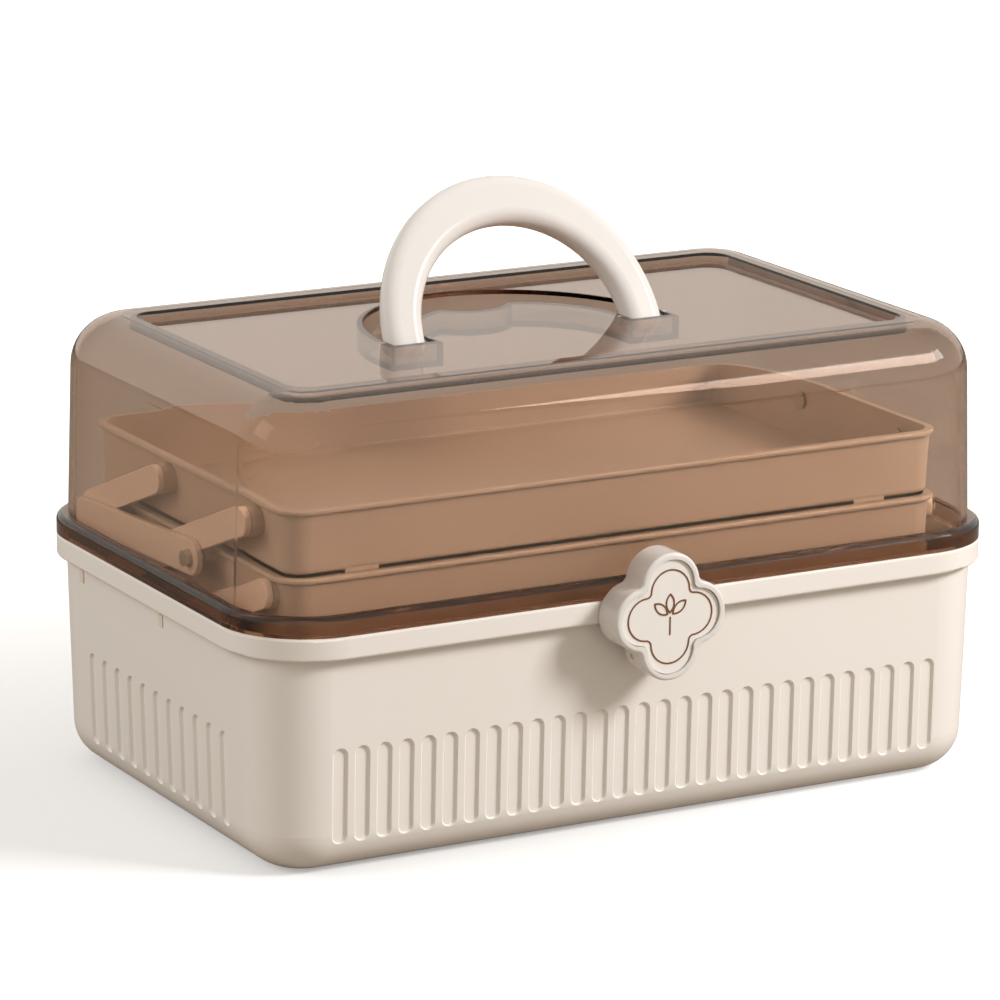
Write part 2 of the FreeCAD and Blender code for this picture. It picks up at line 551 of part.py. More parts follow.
def make_base_tub():
    body = new_body("base_tub")
    drafted_shell(body, "base_height", "base_height", False, TUB_HALF, TUB_DEPTH, TUB_DEPTH,
                  "tub_corner", "tub_draft", "tub_bottom_round", "tub_wall")
    # rim band, hollow from below
    band = ("rim_length / 2", "rim_width / 2", "rim_width / 2", "rim_corner")
    wall = (TUB_HALF, TUB_DEPTH, TUB_DEPTH, "tub_corner")
    ring(body, "(base_height - band_height)", "band_height", band,
         [side + " - tub_wall / 2" for side in wall])
    fillet(body, "band_edge", on_outline(("base_height - band_height", "base_height"), *band))
    ring(body, "(base_height - band_height)", "(band_height - band_top)",
         [side + " - band_wall" for side in band], wall, cut=True)
    # ribs that the lower tray comes down on, two in front and two at the rear
    top = "(lower_tray_bottom - tray_rest_gap)"
    for x in ("0 - rib_spread", "rib_spread"):
        for side in ("-1", "1"):
            corners = [("%s * (%s - tub_draft * (1 - %s / base_height) - %s)"
                        % (side, TUB_DEPTH, z, back), z)
                       for z, back in (("rib_low", "tub_wall / 2"), (top, "tub_wall / 2"),
                                       (top, "rib_depth"), ("rib_low", "rib_depth"))]
            prism(body, x, corners, "rib_width")
    # slots in the end walls for the arm plates' tabs
    for sign in ("-1", "1"):
        start, length = across(sign, TUB_HALF + " - 3 * tub_wall", TUB_HALF + " + tub_wall")
        for y, z in (BASE_PIVOT, rear_pivot(BASE_PIVOT)):
            solid(body, "SubtractiveBox", start, y + " - tab_width / 2 - tab_gap",
                  z + " - tab_height / 2 - tab_gap", Length=length,
                  Width="tab_width + 2 * tab_gap", Height="tab_height + 2 * tab_gap")
    # lug that carries the latch
    box_between(body, "AdditiveBox",
                ("0 - lug_width / 2", "0 - " + LATCH_PIVOT_Y, "latch_pivot_z - lug_radius"),
                ("lug_width / 2", "0 - %s + tub_wall" % TUB_DEPTH, "latch_pivot_z + lug_radius"))
    solid(body, "AdditiveCylinder", "0 - lug_width / 2", "0 - " + LATCH_PIVOT_Y, "latch_pivot_z",
          Y_AXIS, Radius="lug_radius", Height="lug_width")
    solid(body, "SubtractiveCylinder", "0 - lug_width", "0 - " + LATCH_PIVOT_Y, "latch_pivot_z",
          Y_AXIS, Radius="latch_pin_radius + run_gap", Height="2 * lug_width")
    # ears of the lid hinge, one each side of both lid knuckles
    for hinge in ("0 - hinge_spread", "hinge_spread"):
        for side in ("0 - knuckle_length / 2 - knuckle_gap - ear_length",
                     "knuckle_length / 2 + knuckle_gap"):
            x = "%s + %s" % (hinge, side)
            box_between(body, "AdditiveBox", (x, "rim_width / 2 - band_edge",
                                              "base_height - band_height + 2 * band_edge"),
                        (x + " + ear_length", "hinge_y + knuckle_radius",
                         "base_height - lid_gap"))
            solid(body, "AdditiveCylinder", x, "hinge_y", HINGE_Z, Y_AXIS,
                  Radius="knuckle_radius", Height="ear_length")
        solid(body, "SubtractiveCylinder", hinge + " - knuckle_length / 2 - 2 * ear_length",
              "hinge_y", HINGE_Z, Y_AXIS, Radius="hinge_pin_radius + run_gap",
              Height="knuckle_length + 4 * ear_length")
    for role, distance, pitch, count in (("XZ_Plane", TUB_DEPTH, "front_pitch", "front_count"),
                                         ("YZ_Plane", TUB_HALF, "side_pitch", "side_count")):
        for opposite in (False, True):
            groove_row(body, role, "(%s - tub_draft)" % distance, pitch, count, opposite)


def make_arm_plate(label, sign):
    """Strip inside an end wall, with a boss at each lower pivot and tabs through the wall."""
    body = new_body(label)
    wall = "(%s - tub_draft - tub_wall - plate_wall_gap + tub_draft * plate_low / base_height)"
    wall = wall % TUB_HALF
    start, length = across(sign, wall + " - plate_skin", wall)
    solid(body, "AdditiveBox", start, "0 - plate_front", "plate_low", Length=length,
          Width="plate_front + plate_rear", Height="plate_high - plate_low")
    for y, z in (BASE_PIVOT, rear_pivot(BASE_PIVOT)):
        cross_cylinder(body, "AdditiveCylinder", sign, LOWER_OUT + " + slide_gap",
                       wall + " - plate_skin / 2", y, z, "boss_radius")
        start, length = across(sign, wall + " - plate_skin / 2",
                               "(%s - tub_draft + tub_draft * %s / base_height + tab_stand)"
                               % (TUB_HALF, z))
        solid(body, "AdditiveBox", start, y + " - tab_width / 2", z + " - tab_height / 2",
              Length=length, Width="tab_width", Height="tab_height")
        cross_cylinder(body, "SubtractiveCylinder", sign, LOWER_OUT,
                       wall + " - plate_skin / 2", y, z, "pivot_pin_radius + run_gap")


def make_pivot_pins(label, sign, pivot, head_from, shank_to):
    """Two headed pins, one at each pivot of a pair."""
    body = new_body(label)
    body.AllowCompound = True
    for y, z in (pivot, rear_pivot(pivot)):
        cross_cylinder(body, "AdditiveCylinder", sign, head_from,
                       head_from + " + pin_head_height", y, z, "pin_head_radius")
        cross_cylinder(body, "AdditiveCylinder", sign, head_from + " + pin_head_height / 2",
                       shank_to, y, z, "pivot_pin_radius")


# Lid

def make_lid_shell():
    body = new_body("lid_shell")
    drafted_shell(body, LID_BOTTOM, "lid_height", True, LID_HALF, LID_DEPTH, LID_DEPTH,
                  "lid_corner", "lid_draft", "lid_top_round", "lid_wall")
    flange = ("rim_length / 2", "rim_width / 2", "rim_width / 2", "rim_corner")
    ring(body, LID_BOTTOM, "flange_height", flange,
         [side + " - lid_wall / 2" for side in (LID_HALF, LID_DEPTH, LID_DEPTH, "lid_corner")])
    fillet(body, "flange_round", on_outline((LID_BOTTOM + " + flange_height",), *flange))
    # lowered top panel, thickened from below first
    backing = new_sketch(body, "XY_Plane", PANEL_UNDER)
    panel = (LID_HALF + " - panel_border_x", LID_DEPTH + " - panel_border_y",
             LID_DEPTH + " - panel_border_y")
    rounded_rectangle(backing, *(side + " + lid_wall" for side in panel),
                      "panel_corner + lid_wall")
    extrude(body, backing, "panel_depth + lid_wall / 2")
    sunk = new_sketch(body, "XY_Plane", LID_TOP)
    rounded_rectangle(sunk, *panel, "panel_corner")
    extrude(body, sunk, "panel_depth", cut=True, taper="0 - panel_slope")
    carve_well(body)
    # knuckles of the hinge
    for hinge in ("0 - hinge_spread", "hinge_spread"):
        x = hinge + " - knuckle_length / 2"
        box_between(body, "AdditiveBox",
                    (x, LID_DEPTH + " - lid_wall / 2", HINGE_Z + " + knuckle_radius - hinge_arm"),
                    (x + " + knuckle_length", "hinge_y", HINGE_Z + " + knuckle_radius"))
        solid(body, "AdditiveCylinder", x, "hinge_y", HINGE_Z, Y_AXIS, Radius="knuckle_radius",
              Height="knuckle_length")
        solid(body, "SubtractiveCylinder", x + " - knuckle_length", "hinge_y", HINGE_Z, Y_AXIS,
              Radius="hinge_pin_radius + run_gap", Height="3 * knuckle_length")
    return body


def carve_well(body):
    """Bow-shaped channel that the folded handle lies in, round an island of the panel."""
    inner_reach = "(handle_reach - handle_apex_breadth - well_side_gap)"
    pivot_line = "0 - handle_pivot_y"
    block = new_sketch(body, "XY_Plane", WELL_UNDER, up=pivot_line)
    arch(block, WELL_HALF + " + lid_wall", WELL_REACH + " + lid_wall", "well_front + lid_wall")
    extrude(body, block, "well_depth + lid_wall / 2")
    # the hollow under the island, open to the front
    hollow = new_sketch(body, "XY_Plane", PANEL_UNDER, up=pivot_line)
    arch(hollow, WELL_INNER + " - lid_wall", inner_reach + " - lid_wall", "2 * well_front")
    extrude(body, hollow, "well_depth + 1", cut=True)
    # wall of the finger scoop, which bites into the island under the folded bow
    scoop = ("0", "scoop_reach - handle_pivot_y")
    solid(body, "AdditiveCylinder", *scoop, WELL_UNDER, Radius="scoop_radius + lid_wall",
          Height="well_depth + lid_wall / 2")
    channel = new_sketch(body, "XY_Plane", PANEL_TOP, up=pivot_line)
    arch(channel, WELL_HALF, WELL_REACH, "well_front", (WELL_INNER, inner_reach))
    extrude(body, channel, "well_depth", cut=True)
    solid(body, "SubtractiveCylinder", *scoop, WELL_FLOOR, Radius="scoop_radius",
          Height="well_depth + 1")
    # holes for the handle's pins, through both walls of each leg's channel
    for sign in ("-1", "1"):
        cross_cylinder(body, "SubtractiveCylinder", sign, WELL_INNER + " - handle_pin_grip",
                       WELL_HALF + " + handle_pin_grip", pivot_line, HANDLE_Z,
                       "handle_pin_radius + run_gap")


def make_handle():
    """Bow with soft edges, drawn flat and turned up about its pivot."""
    body = new_body("handle")
    plan = new_sketch(body, "XY_Plane")
    arch(plan, "handle_half_width", "handle_reach", "handle_thickness / 2",
         (HANDLE_INNER, "(handle_reach - handle_apex_breadth)"))
    extrude(body, plan, "handle_thickness", both=True)
    fillet(body, "handle_round", lambda edge: True)
    solid(body, "SubtractiveCylinder", "0 - handle_half_width - 1", "0", "0", Y_AXIS,
          Radius="handle_pin_radius + run_gap", Height="2 * handle_half_width + 2")
    place(body, "0", "0 - handle_pivot_y", HANDLE_Z, X_AXIS, "90 - handle_lean")


def make_handle_pin(label, sign):
    body = new_body(label)
    cross_cylinder(body, "AdditiveCylinder", sign,
                   WELL_INNER + " - handle_pin_grip + run_gap",
                   WELL_HALF + " + handle_pin_grip - run_gap", "0 - handle_pivot_y", HANDLE_Z,
                   "handle_pin_radius")


def make_hinge_pin(label, sign):
    body = new_body(label)
    half = "(knuckle_length / 2 + knuckle_gap + ear_length)"
    cross_cylinder(body, "AdditiveCylinder", sign, "hinge_spread - " + half,
                   "(hinge_spread + %s)" % half, "hinge_y", HINGE_Z, "hinge_pin_radius")


# Latch

def moved_in(outline, inset):
    """A four-lobed outline moved in all round by an inset."""
    reach_x, reach_z, lobe, valley = outline
    return reach_x, reach_z, "(%s - %s)" % (lobe, inset), "(%s + %s)" % (valley, inset)


LATCH_OUTLINE = ("latch_reach_x", "latch_reach_z", "lobe_radius", "valley_radius")
RECESS_OUTLINE = ("latch_reach_x", "latch_reach_z", "(lobe_radius - latch_rim)",
                  "recess_valley")
LINE_OUTLINE = ("line_reach", "line_reach", "line_lobe", "line_valley")


def latch_sketch(body, depth, *outlines):
    """Nested four-lobed outlines on a plane at one distance in front of the origin."""
    sketch = new_sketch(body, "XZ_Plane", depth, up="latch_centre")
    for number, outline in enumerate(outlines):
        quatrefoil(sketch, outline, "_%d" % number)
    return sketch


def make_latch_body():
    body = new_body("latch_body")
    extrude(body, latch_sketch(body, LATCH_BACK, LATCH_OUTLINE), "latch_thickness")
    fillet(body, "latch_edge", level_at("Y", "0 - " + LATCH_FACE))
    extrude(body, latch_sketch(body, LATCH_FACE, RECESS_OUTLINE), "latch_recess", cut=True)
    extrude(body, latch_sketch(body, LATCH_BACK, moved_in(LATCH_OUTLINE, "latch_wall")),
            "latch_thickness - latch_recess - latch_wall", cut=True, reverse=True)
    box_between(body, "SubtractiveBox",
                ("0 - lug_width / 2 - lug_slot_gap", "0 - %s - lug_slot_gap * 2" % LATCH_PIVOT_Y,
                 "latch_centre - latch_reach_z - lobe_radius - 1"),
                ("lug_width / 2 + lug_slot_gap", "0 - %s + 1" % LATCH_BACK,
                 "latch_pivot_z - lug_radius"))
    solid(body, "SubtractiveCylinder", "0 - 2 * lobe_radius", "0 - " + LATCH_PIVOT_Y,
          "latch_pivot_z", Y_AXIS, Radius="latch_pin_radius + run_gap", Height="4 * lobe_radius")


def make_latch_front():
    plate = new_body("latch_plate")
    floor = "(%s - latch_recess)" % LATCH_FACE
    extrude(plate, latch_sketch(plate, floor, moved_in(RECESS_OUTLINE, "plate_gap")),
            "plate_thickness")
    line = new_body("latch_line")
    face = "(%s + plate_thickness)" % floor
    extrude(line, latch_sketch(line, face, LINE_OUTLINE, moved_in(LINE_OUTLINE, "line_width")),
            "line_thickness")
    motif = new_body("latch_motif")
    motif.AllowCompound = True
    for turn in ("-1 * leaf_angle", "0", "leaf_angle"):
        sketch = new_sketch(motif, "XZ_Plane", face, "latch_centre", turn)
        leaf_outline(sketch, "0", "_outer")
        leaf_outline(sketch, "line_width", "_inner")
        extrude(motif, sketch, "line_thickness")
    stem = new_sketch(motif, "XZ_Plane", face, "latch_centre")
    capsule(stem, ("0", "0 - stem_length"), ("0", "0 - line_width / 2"), "line_width / 2",
            "line_width / 2")
    extrude(motif, stem, "line_thickness")


def leaf_outline(sketch, inset, tag):
    """A pointed leaf between two arcs, upright above the origin."""
    low = "(leaf_start + 1.5 * %s)" % inset
    high = "(leaf_start + leaf_length - 1.5 * %s)" % inset
    length, width = "(%s - %s)" % (high, low), "(leaf_width - 2 * %s)" % inset
    radius = "((%s ^ 2 + %s ^ 2) / (4 * %s))" % (length, width, width)
    a, b, r, w = (value(v) for v in (low, high, radius, width))
    reach = math.degrees(math.asin((b - a) / 2 / r))
    right = arc(sketch, (w / 2 - r, (a + b) / 2), r, -reach, reach)
    left = arc(sketch, (r - w / 2, (a + b) / 2), r, 180 - reach, 180 + reach)
    for constraint in (("Coincident", right, 2, left, 1), ("Coincident", left, 2, right, 1),
                       ("PointOnObject", right, 1, -2), ("PointOnObject", right, 2, -2),
                       ("Equal", right, left)):
        sketch.addConstraint(Sketcher.Constraint(*constraint))
    datum(sketch, "low" + tag, "DistanceY", low, -1, 1, right, 1)
    datum(sketch, "high" + tag, "DistanceY", high, -1, 1, right, 2)
    datum(sketch, "bow" + tag, "Radius", radius, right)


def make_latch_pin():
    pin = doc.addObject("Part::Cylinder", "latch_pin")
    pin.Label = "latch_pin"
    half = "(sqrt((lobe_radius) ^ 2 - (latch_centre - latch_reach_z - latch_pivot_z) ^ 2)"
    half += " - latch_pin_sink)"
    tie(pin, "Radius", "latch_pin_radius")
    tie(pin, "Height", "2 * " + half)
    place(pin, "0 - " + half, "0 - " + LATCH_PIVOT_Y, "latch_pivot_z", Y_AXIS)


# Trays

def make_tray(label, bottom, height, pivot, boss_to):
    """Shallow tray with a beaded rim and a round boss behind each arm."""
    body = new_body(label)
    rim = "(%s + %s)" % (bottom, height)
    wall = ("tray_half_length", "tray_front", "tray_rear", "tray_corner")
    drafted_shell(body, rim, height, False, *wall, "tray_draft", "tray_bottom_round",
                  "tray_wall")
    bead = [side + " + bead_width" for side in wall]
    ring(body, rim + " - bead_height", "bead_height", bead,
         [side + " - tray_wall / 2" for side in wall])
    fillet(body, "bead_height / 2.5", on_outline((rim, rim + " - bead_height"), *bead))
    for sign in ("-1", "1"):
        for y, z in (pivot, rear_pivot(pivot)):
            cross_cylinder(body, "AdditiveCylinder", sign, "tray_half_length - tray_draft",
                           boss_to, y, z, "boss_radius")
            cross_cylinder(body, "SubtractiveCylinder", sign,
                           "tray_half_length - tray_draft - 2 * tray_wall", boss_to + " + 1",
                           y, z, "pivot_pin_radius + run_gap")
    return body


def make_lower_tray():
    body = make_tray("lower_tray", "lower_tray_bottom", "lower_tray_height",
                     LOWER_TRAY_PIVOT, "(%s - slide_gap / 2)" % LOWER_IN)
    # bosses that the rails are fixed to, between the lower arms
    wall = "tray_half_length - tray_draft - tray_wall / 2"
    for sign in ("-1", "1"):
        for y, z, boss, hole in (
                ("0 - rail_front_y", "rail_front_z", "screw_boss_radius", "screw_radius"),
                ("rail_peg_y", "rail_peg_z", "rail_boss_radius", "pivot_pin_radius")):
            cross_cylinder(body, "AdditiveCylinder", sign, wall, LOWER_OUT, y, z, boss)
            cross_cylinder(body, "SubtractiveCylinder", sign, "tray_half_length - tray_draft",
                           LOWER_OUT + " + 1", y, z, hole + " + run_gap")


def make_upper_tray():
    body = make_tray("upper_tray", UPPER_BOTTOM, "upper_tray_height",
                     UPPER_TRAY_PIVOT, "(%s - slide_gap / 2)" % UPPER_IN)
    # feet that rest on the lower tray's rim
    for x in ("0 - foot_spread", "foot_spread"):
        for y in ("0 - tray_front + tray_draft + tray_bottom_round / 8",
                  "tray_rear - tray_draft - tray_bottom_round / 8 - foot_width"):
            box_between(body, "AdditiveBox",
                        (x + " - foot_length / 2", y, LOWER_RIM + " + stack_gap"),
                        (x + " + foot_length / 2", y + " + foot_width",
                         UPPER_BOTTOM + " + 0.9 * tray_wall"))


def make_tray_pins(label, sign, bottom, height, pivot, arm_out):
    """Pins from inside a tray wall into the blind ends of its two arms."""
    y, z = pivot
    lean = "tray_draft * (%s + %s - %s) / %s" % (bottom, height, z, height)
    wall = "(tray_half_length - %s - tray_wall - pin_head_height" % lean
    wall += " - run_gap - tray_draft / 4)"
    make_pivot_pins(label, sign, pivot, wall, "(%s - arm_skin - run_gap)" % arm_out)


# Arms and rails

def make_arm(label, sign, low_pivot, length, near, far):
    """Flat bar with round ends, lying from its lower pivot up to its tray pivot."""
    body = new_body(label)
    start, thickness = across(sign, near, far)
    bar = new_sketch(body, "YZ_Plane", start)
    capsule(bar, ("0", "0"), (length, "0"), "arm_width / 2", "arm_width / 2")
    extrude(body, bar, thickness)
    outer_face = far if sign == "1" else "0 - " + far
    fillet(body, "arm_edge", level_at("X", outer_face))
    # the lower hole goes through, and the upper one leaves a skin outside
    for y, end in (("0", "(%s + 1)" % far), (length, "(%s - arm_skin)" % far)):
        cross_cylinder(body, "SubtractiveCylinder", sign, "(%s - 1)" % near, end, y, "0",
                       "pivot_pin_radius + run_gap")
    place(body, "0", *low_pivot, X_AXIS, "180 - arm_slope")


def make_rail(label, sign):
    """Long plate outside the upper arms, with pegs for their lower ends and for the tray."""
    body = new_body(label)
    start, thickness = across(sign, RAIL_IN, RAIL_OUT)
    plate = new_sketch(body, "YZ_Plane", start)
    capsule(plate, ("0 - rail_front_y", "rail_front_z"), ("rail_rear_y", "rail_rear_z"),
            "rail_front_radius", "rail_rear_radius")
    extrude(body, plate, thickness)
    fillet(body, "arm_edge", level_at("X", RAIL_OUT if sign == "1" else "0 - " + RAIL_OUT))
    inside = "(%s + rail_thickness / 2)" % RAIL_IN
    for y, z in (RAIL_PIVOT, rear_pivot(RAIL_PIVOT)):
        cross_cylinder(body, "AdditiveCylinder", sign, "(%s + slide_gap / 4)" % UPPER_IN, inside,
                       y, z, "pivot_pin_radius")
    cross_cylinder(body, "AdditiveCylinder", sign, "(%s + slide_gap / 2)" % LOWER_OUT, inside,
                   "rail_peg_y", "rail_peg_z", "rail_boss_radius")
    cross_cylinder(body, "AdditiveCylinder", sign, "(tray_half_length + 1)", inside,
                   "rail_peg_y", "rail_peg_z", "pivot_pin_radius")
    cross_cylinder(body, "SubtractiveCylinder", sign, "(%s - 1)" % RAIL_IN,
                   "(%s + 1)" % RAIL_OUT, "0 - rail_front_y", "rail_front_z",
                   "screw_radius + run_gap")


def make_rail_screw(label, sign):
    """Screw with a hexagon head and a round collar."""
    body = new_body(label)
    y, z = "0 - rail_front_y", "rail_front_z"
    collar = "(%s + screw_collar_height)" % RAIL_OUT
    cross_cylinder(body, "AdditiveCylinder", sign,
                   "(tray_half_length - tray_draft + screw_tip_gap)",
                   "(%s + screw_collar_height / 2)" % RAIL_OUT, y, z, "screw_radius")
    cross_cylinder(body, "AdditiveCylinder", sign, RAIL_OUT, collar, y, z,
                   "screw_collar_radius")
    start, height = across(sign, collar, "(%s + screw_head_height)" % collar)
    head = solid(body, "AdditivePrism", start, y, z, Y_AXIS, "90", Height=height,
                 Circumradius="screw_head_flats / 2 / cos(30deg)")
    head.Polygon = 6
    doc.recompute()


make_base_tub()
both_sides("base_arm_plate", make_arm_plate)
both_sides("base_arm_pins", lambda label, sign: make_pivot_pins(
    label, sign, BASE_PIVOT, "(%s - slide_gap / 2 - pin_head_height)" % LOWER_IN,
    "(%s - tub_draft - tub_wall - plate_wall_gap - plate_skin)" % TUB_HALF))
both_sides("hinge_pin", make_hinge_pin)
make_lid_shell()
make_handle()
both_sides("handle_pin", make_handle_pin)
make_latch_body()
make_latch_front()
make_latch_pin()
make_lower_tray()
make_upper_tray()
both_sides("lower_tray_pins", lambda label, sign: make_tray_pins(
    label, sign, "lower_tray_bottom", "lower_tray_height", LOWER_TRAY_PIVOT, LOWER_OUT))
both_sides("upper_tray_pins", lambda label, sign: make_tray_pins(
    label, sign, UPPER_BOTTOM, "upper_tray_height", UPPER_TRAY_PIVOT, UPPER_OUT))
for place_name, shift in (("front", lambda pivot: pivot), ("rear", rear_pivot)):
    both_sides("lower_%s_arm" % place_name, lambda label, sign: make_arm(
        label, sign, shift(BASE_PIVOT), "lower_arm_length", LOWER_IN, LOWER_OUT))
    both_sides("upper_%s_arm" % place_name, lambda label, sign: make_arm(
        label, sign, shift(RAIL_PIVOT), "upper_arm_length", UPPER_IN, UPPER_OUT))
both_sides("side_rail", make_rail)
both_sides("rail_screw", make_rail_screw)
doc.recompute()

# Nothing is written unless every object is sound
for thing in doc.Objects:
    if "Invalid" in thing.State or "Error" in thing.State:
        raise RuntimeError("%s failed" % thing.Name)
pieces = [thing for thing in doc.Objects
          if thing.TypeId in ("PartDesign::Body", "Part::Cylinder")]
for piece in pieces:
    if piece.Shape.isNull() or not piece.Shape.isValid():
        raise RuntimeError("%s has no sound shape" % piece.Label)

os.makedirs("parts", exist_ok=True)
for piece in pieces:
    piece.Shape.exportStep(os.path.join("parts", piece.Label + ".step"))
    print("%-24s %9.1f mm3, %d solids" % (piece.Label, piece.Shape.Volume,
                                          len(piece.Shape.Solids)))
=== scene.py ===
import math

import bpy
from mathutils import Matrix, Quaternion, Vector

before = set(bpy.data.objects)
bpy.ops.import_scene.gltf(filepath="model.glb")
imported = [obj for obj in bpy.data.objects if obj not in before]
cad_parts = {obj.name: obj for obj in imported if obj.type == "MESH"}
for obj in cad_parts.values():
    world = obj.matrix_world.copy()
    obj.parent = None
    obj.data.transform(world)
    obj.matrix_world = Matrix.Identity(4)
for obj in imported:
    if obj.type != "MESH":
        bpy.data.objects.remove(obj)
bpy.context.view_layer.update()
bpy.ops.object.select_all(action="DESELECT")

MM = 0.001


# Camera, fitted to the photograph

CAMERA_TARGET = Vector((-6.12, 3.65, 107.39)) * MM
CAMERA_DISTANCE = 2025.8 * MM
CAMERA_AZIMUTH = math.radians(-28.886)
CAMERA_ELEVATION = math.radians(14.339)
CAMERA_ROLL = math.radians(0.365)
CAMERA_LENS = 183.78
CAMERA_SENSOR = 36
CAMERA_RANGE = (0.05, 50)


def direction(azimuth, elevation):
    """The unit vector from the object to a place round it, with azimuth 0 in front."""
    return Vector((math.sin(azimuth) * math.cos(elevation),
                   -math.cos(azimuth) * math.cos(elevation), math.sin(elevation)))


def make_camera():
    data = bpy.data.cameras.new("camera")
    data.lens = CAMERA_LENS
    data.sensor_width = CAMERA_SENSOR
    data.clip_start, data.clip_end = CAMERA_RANGE
    camera = bpy.data.objects.new("camera", data)
    bpy.context.collection.objects.link(camera)
    away = direction(CAMERA_AZIMUTH, CAMERA_ELEVATION)
    camera.location = CAMERA_TARGET + away * CAMERA_DISTANCE
    turn = (-away).to_track_quat("-Z", "Y")
    camera.rotation_mode = "QUATERNION"
    camera.rotation_quaternion = turn @ Quaternion((0, 0, 1), CAMERA_ROLL)
    bpy.context.scene.camera = camera


# Materials

def linear(hex_colour):
    """The linear colour of an sRGB hex value."""
    parts = [int(hex_colour[i:i + 2], 16) / 255 for i in (1, 3, 5)]
    return [c / 12.92 if c <= 0.04045 else ((c + 0.055) / 1.055) ** 2.4 for c in parts] + [1]


def add(tree, kind, links=(), **settings):
    """A node with its settings, and its inputs set or linked by (input, value or socket)."""
    node = tree.nodes.new(kind)
    for name, setting in settings.items():
        setattr(node, name, setting)
    for name, source in links:
        if isinstance(source, bpy.types.NodeSocket):
            tree.links.new(source, node.inputs[name])
        else:
            node.inputs[name].default_value = source
    return node


def new_material(name):
    material = bpy.data.materials.new(name)
    material.use_nodes = True
    material.node_tree.nodes.clear()
    return material, material.node_tree


def finish_material(material, tree, shader, volume=None):
    links = [("Surface", shader.outputs[0])]
    if volume:
        links.append(("Volume", volume.outputs[0]))
    add(tree, "ShaderNodeOutputMaterial", links)
    return material


def per_mm(size_mm):
    """The texture scale at which one feature is that many millimetres across."""
    return 1 / (size_mm * MM)


def moulded_plastic(name, colour, darker, rough, texture_mm, texture_height,
                    flow_mm=60):
    """Injection-moulded plastic: a faint cloudy colour, and a fine grain from the mould.

    texture_mm is the grain's size, texture_height its strength, and flow_mm the size of
    the cloudy patches.
    """
    material, tree = new_material(name)
    place = add(tree, "ShaderNodeTexCoord").outputs["Object"]
    flow = add(tree, "ShaderNodeTexNoise",
               [("Vector", place), ("Scale", per_mm(flow_mm)), ("Detail", 3.0)])
    tone = add(tree, "ShaderNodeMix", [("Factor", flow.outputs["Fac"]), (6, linear(colour)),
                                       (7, linear(darker))], data_type="RGBA")
    grain = add(tree, "ShaderNodeTexNoise",
                [("Vector", place), ("Scale", per_mm(texture_mm)), ("Detail", 2.0)])
    sheen = add(tree, "ShaderNodeMapRange",
                [("Value", flow.outputs["Fac"]), ("From Min", 0.3), ("From Max", 0.7),
                 ("To Min", rough * 0.92), ("To Max", rough * 1.1)])
    bump = add(tree, "ShaderNodeBump",
               [("Height", grain.outputs["Fac"]), ("Strength", texture_height),
                ("Distance", 0.05 * MM)])
    shader = add(tree, "ShaderNodeBsdfPrincipled",
                 [("Base Color", tone.outputs[2]), ("Roughness", sheen.outputs[0]),
                  ("Normal", bump.outputs[0])])
    return finish_material(material, tree, shader)


def clear_polystyrene():
    """Clear brown polystyrene, polished mould: sharp reflections, darker where it is thick.

    Rays from lamps pass straight through, so that the trays under the lid are lit.
    """
    material, tree = new_material("clear brown polystyrene, polished mould")
    polished = add(tree, "ShaderNodeBsdfPrincipled",
                   [("Base Color", linear("#FFFFFF")), ("Roughness", 0.02), ("IOR", 1.45),
                    ("Transmission Weight", 1.0)])
    open_way = add(tree, "ShaderNodeBsdfTransparent", [("Color", linear("#FAF8F6"))])
    lamp_ray = add(tree, "ShaderNodeLightPath").outputs["Is Shadow Ray"]
    shader = add(tree, "ShaderNodeMixShader",
                 [(0, lamp_ray), (1, polished.outputs[0]), (2, open_way.outputs[0])])
    volume = add(tree, "ShaderNodeVolumeAbsorption",
                 [("Color", linear("#C9A680")), ("Density", 340.0)])
    return finish_material(material, tree, shader, volume)


def turned_steel():
    """Plain turned steel of pins and screws: fine rings from the lathe."""
    material, tree = new_material("turned steel, bright zinc")
    place = add(tree, "ShaderNodeTexCoord").outputs["Object"]
    marks = add(tree, "ShaderNodeTexNoise",
                [("Vector", place), ("Scale", per_mm(0.8)), ("Detail", 2.0)])
    rough = add(tree, "ShaderNodeMapRange",
                [("Value", marks.outputs["Fac"]), ("To Min", 0.22), ("To Max", 0.42)])
    shader = add(tree, "ShaderNodeBsdfPrincipled",
                 [("Base Color", linear("#C9C6BF")), ("Metallic", 1.0),
                  ("Roughness", rough.outputs[0])])
    return finish_material(material, tree, shader)


def dress(material, *nodes):
    """Give CAD nodes a material."""
    for name in nodes:
        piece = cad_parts[name]
        for slot in piece.material_slots:
            slot.material = material


def both(name):
    return name + "_left", name + "_right"


# ABS of the tub: cream, satin from a lightly textured mould
TUB_ABS = moulded_plastic("cream ABS, satin moulded", "#EFEAE4", "#ECE6DF", 0.34, 0.7, 0.10)
# ABS of the handle and latch: the same colour from a polished mould
GLOSS_ABS = moulded_plastic("cream ABS, polished mould", "#E3DFDB", "#E0DBD6", 0.12, 2.5, 0.03)
PLATE_ABS = moulded_plastic("white ABS sheet, satin", "#EDE9E4", "#EAE5DF", 0.22, 1.2, 0.04)
# polypropylene of the trays and arms: tan, waxy
TRAY_PP = moulded_plastic("tan polypropylene, moulded", "#C9BDAE", "#C3B6A7", 0.30, 1.0, 0.08)
ARM_PP = moulded_plastic("tan polypropylene, glossy", "#EDDFD0", "#E6D8C8", 0.24, 1.4, 0.06)
INK = moulded_plastic("brown pad-printed ink", "#7A4E2E", "#734829", 0.45, 0.4, 0.12)
STEEL = turned_steel()
LID_PS = clear_polystyrene()

